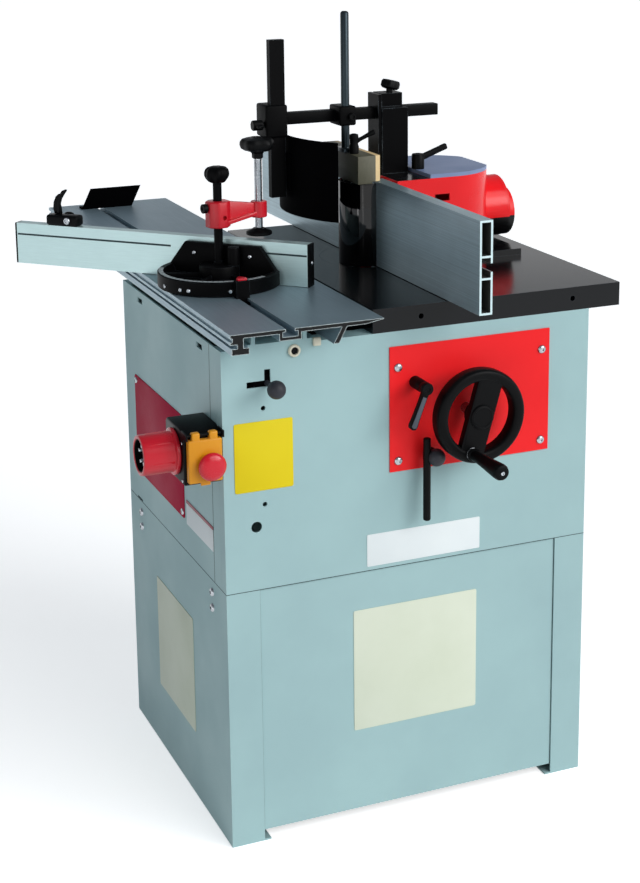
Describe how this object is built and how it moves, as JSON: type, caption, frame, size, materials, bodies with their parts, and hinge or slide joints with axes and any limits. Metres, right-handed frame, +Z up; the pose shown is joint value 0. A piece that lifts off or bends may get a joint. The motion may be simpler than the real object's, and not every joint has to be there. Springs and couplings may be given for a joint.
{
  "type": "spindle moulder",
  "caption": "Floor-standing spindle moulder: sheet-metal cabinet, cast table, sliding table with mitre gauge, fences with dust hood, pressure device and handwheel.",
  "frame": {"origin": "On the floor, in the middle of the four anchor holes in the cabinet's floor flanges.", "axes": "+Z up, +X along the handwheel face to the operator's right, +Y away from the operator along the travel of the sliding table."},
  "size_m": [0.788, 1.099, 1.171],
  "materials": {
    "cabinet_paint": "satin grey-green powder coat",
    "red_paint": "gloss red coat",
    "black_paint": "satin black coat",
    "lid_paint": "satin slate grey coat",
    "table_iron": "ground and blued cast iron",
    "dark_iron": "unmachined casting",
    "table_aluminium": "anodised extrusion",
    "fence_aluminium": "brushed extrusion",
    "steel": "turned steel",
    "bright_rod": "bright plated rod",
    "black_plastic": "moulded black plastic",
    "gloss_black": "polished black thermoset",
    "red_plastic": "red plastic",
    "yellow_plastic": "yellow plastic",
    "green_plastic": "green plastic",
    "cream_plastic": "cream sliding plastic",
    "belt_rubber": "ribbed belt rubber",
    "shoe_wood": "planed beech"
  },
  "bodies": {
    "cabinet": {"base_left_panel": "cabinet_paint", "base_right_panel": "cabinet_paint", "base_front_panel": "cabinet_paint", "upper_left_panel": "cabinet_paint", "rear_cover": "cabinet_paint", "upper_front_panel": "cabinet_paint", "control_plate": "red_paint", "panel_screws": "steel", "main_table": "table_iron", "table_ring": "table_iron", "guide_rail": "table_aluminium", "glide_strips": "cream_plastic", "spindle_frame": "dark_iron", "switch_box": "black_plastic", "plug_inlet": "red_plastic"},
    "sliding_carriage": {"sliding_table": "table_aluminium", "end_stop_plate": "black_paint"},
    "gauge_bar": {"gauge_base": "black_paint"},
    "mitre_head": {"gauge_body": "black_paint", "mitre_fence": "fence_aluminium", "fence_end_caps": "black_plastic"},
    "length_stop": {"stop_block": "black_plastic"},
    "stop_flap": {"stop_finger": "steel"},
    "hold_down_post": {"clamp_post": "black_paint"},
    "hold_down_arm": {"clamp_arm": "red_paint"},
    "hold_down_foot": {"clamp_foot": "black_plastic"},
    "hold_down_screw": {"clamp_screw": "steel"},
    "spindle_slide": {"spindle_carriage": "dark_iron", "spindle_bearings": "steel", "motor": "black_paint", "drive_belt": "belt_rubber"},
    "spindle_rotor": {"spindle": "steel", "spindle_pulley": "table_aluminium"},
    "motor_rotor": {"motor_pulley": "table_aluminium"},
    "height_wheel": {"handwheel_shaft": "steel", "handwheel": "gloss_black"},
    "wheel_grip": {"crank_grip": "gloss_black"},
    "lock_lever": {"height_lock_lever": "black_paint"},
    "belt_lever": {"tension_lever": "black_paint"},
    "spindle_lock": {"spindle_lock_lever": "black_plastic"},
    "switch_flap": {"switch_cover": "yellow_plastic"},
    "stop_push": {"stop_button": "red_plastic"},
    "start_push": {"start_button": "green_plastic"},
    "fence_unit": {"fence_carrier": "black_paint", "hood_shell": "red_paint", "dust_spigot": "black_plastic", "cutter_guard": "black_paint", "pressure_column": "black_paint"},
    "infeed": {"infeed_fence": "fence_aluminium"},
    "outfeed": {"outfeed_fence": "fence_aluminium"},
    "lid": {"hood_lid": "lid_paint"},
    "lid_lever": {"lid_lock_lever": "black_plastic"},
    "cross_bar": {"pressure_bar": "black_paint"},
    "bar_knob": {"bar_lock_knob": "black_plastic"},
    "wing_knob": {"post_wing_knob": "black_plastic"},
    "rod_holder": {"rod_clamp": "black_paint"},
    "top_presser": {"pressure_rod": "bright_rod", "top_shoe": "shoe_wood"},
    "side_presser": {"side_post": "black_paint", "side_shoe": "black_paint"}
  },
  "joints": [
    {"name": "table_travel", "type": "slide", "parent": "cabinet", "child": "sliding_carriage", "axis": [0, 1, 0], "range_m": [-0.56, 0]},
    {"name": "gauge_travel", "type": "slide", "parent": "sliding_carriage", "child": "gauge_bar", "axis": [0, 1, 0], "range_m": [-0.14, 0]},
    {"name": "mitre_turn", "type": "hinge", "parent": "gauge_bar", "child": "mitre_head", "pos_m": [-0.204, 0.006, 0.79], "axis": [0, 0, 1], "range_deg": [0, 90]},
    {"name": "length_stop_travel", "type": "slide", "parent": "mitre_head", "child": "length_stop", "axis": [0.7071, -0.7071, 0], "range_m": [-0.02, 0.18]},
    {"name": "stop_flap_turn", "type": "hinge", "parent": "length_stop", "child": "stop_flap", "pos_m": [-0.37194, 0.23263, 0.8533], "axis": [0.7071, 0.7071, 0], "range_deg": [0, 150]},
    {"name": "hold_down_swing", "type": "hinge", "parent": "mitre_head", "child": "hold_down_post", "pos_m": [-0.204, 0.006, 0.85], "axis": [0, 0, -1], "range_deg": [0, 110]},
    {"name": "hold_down_height", "type": "slide", "parent": "hold_down_post", "child": "hold_down_arm", "axis": [0, 0, 1], "range_m": [-0.018, 0.026]},
    {"name": "hold_down_press", "type": "slide", "parent": "hold_down_arm", "child": "hold_down_foot", "axis": [0, 0, 1], "range_m": [-0.0451, 0.0061]},
    {"name": "hold_down_screw_turn", "type": "hinge", "parent": "hold_down_foot", "child": "hold_down_screw", "pos_m": [-0.13506, 0.01816, 0.9], "axis": [0, 0, 1], "range_deg": [-2700, 360]},
    {"name": "spindle_height", "type": "slide", "parent": "cabinet", "child": "spindle_slide", "axis": [0, 0, 1], "range_m": [-0.06, 0.028]},
    {"name": "spindle_spin", "type": "hinge", "parent": "spindle_slide", "child": "spindle_rotor", "pos_m": [0.097, 0.083, 0.6], "axis": [0, 0, 1], "continuous": true},
    {"name": "motor_spin", "type": "hinge", "parent": "spindle_slide", "child": "motor_rotor", "pos_m": [-0.088, 0.083, 0.47], "axis": [0, 0, 1], "continuous": true},
    {"name": "height_wheel_turn", "type": "hinge", "parent": "cabinet", "child": "height_wheel", "pos_m": [0.084, -0.283, 0.619], "axis": [0, -1, 0], "range_deg": [-172, 80.5]},
    {"name": "wheel_grip_spin", "type": "hinge", "parent": "height_wheel", "child": "wheel_grip", "pos_m": [0.06884, -0.318, 0.56613], "axis": [0, -1, 0], "continuous": true},
    {"name": "lock_lever_turn", "type": "hinge", "parent": "cabinet", "child": "lock_lever", "pos_m": [0.002, -0.25, 0.668], "axis": [0, -1, 0], "range_deg": [-60, 10]},
    {"name": "belt_lever_turn", "type": "hinge", "parent": "cabinet", "child": "belt_lever", "pos_m": [0.026, -0.25, 0.558], "axis": [0, -1, 0], "range_deg": [-30, 30]},
    {"name": "spindle_lock_travel", "type": "slide", "parent": "cabinet", "child": "spindle_lock", "axis": [1, 0, 0], "range_m": [-0.026, 0]},
    {"name": "switch_flap_turn", "type": "hinge", "parent": "cabinet", "child": "switch_flap", "pos_m": [-0.3155, -0.2395, 0.633], "axis": [-1, 0, 0], "range_deg": [0, 100]},
    {"name": "stop_push_travel", "type": "slide", "parent": "switch_flap", "child": "stop_push", "axis": [0, 1, 0], "range_m": [0, 0.004], "stiffness_N_per_m": 500, "springref_m": -0.002},
    {"name": "start_push_travel", "type": "slide", "parent": "cabinet", "child": "start_push", "axis": [0, 1, 0], "range_m": [0, 0.003], "stiffness_N_per_m": 500, "springref_m": -0.002},
    {"name": "fence_travel", "type": "slide", "parent": "cabinet", "child": "fence_unit", "axis": [1, 0, 0], "range_m": [0, 0.025]},
    {"name": "infeed_travel", "type": "slide", "parent": "fence_unit", "child": "infeed", "axis": [0, 1, 0], "range_m": [-0.04, 0.02]},
    {"name": "outfeed_travel", "type": "slide", "parent": "fence_unit", "child": "outfeed", "axis": [0, 1, 0], "range_m": [-0.02, 0.04]},
    {"name": "lid_swivel", "type": "hinge", "parent": "fence_unit", "child": "lid", "pos_m": [0.146, 0.053, 0.918], "axis": [0, 0, -1], "range_deg": [0, 55]},
    {"name": "lid_lever_turn", "type": "hinge", "parent": "fence_unit", "child": "lid_lever", "pos_m": [0.146, 0.053, 0.93], "axis": [0, 0, 1], "range_deg": [-90, 90]},
    {"name": "cross_bar_travel", "type": "slide", "parent": "fence_unit", "child": "cross_bar", "axis": [1, 0, 0], "range_m": [-0.035, 0.006]},
    {"name": "bar_knob_turn", "type": "hinge", "parent": "fence_unit", "child": "bar_knob", "pos_m": [0.1105, 0.083, 1.05], "axis": [0, 0, 1], "range_deg": [-180, 180]},
    {"name": "wing_knob_turn", "type": "hinge", "parent": "cross_bar", "child": "wing_knob", "pos_m": [-0.115, 0.062, 1.005], "axis": [-1, 0, 0], "range_deg": [-180, 180]},
    {"name": "rod_holder_travel", "type": "slide", "parent": "cross_bar", "child": "rod_holder", "axis": [1, 0, 0], "range_m": [-0.04, 0.006]},
    {"name": "top_presser_travel", "type": "slide", "parent": "rod_holder", "child": "top_presser", "axis": [0, 0, 1], "range_m": [0, 0.034]},
    {"name": "side_presser_travel", "type": "slide", "parent": "cross_bar", "child": "side_presser", "axis": [0, 0, 1], "range_m": [-0.08, 0.012]}
  ],
  "couplings": [
    {"joint": "height_wheel_turn", "follows": "spindle_height", "rad_per_m": 50},
    {"joint": "motor_spin", "follows": "spindle_spin", "ratio": 1},
    {"joint": "hold_down_press", "follows": "hold_down_screw_turn", "m_per_rad": 0.00095493}
  ]
}
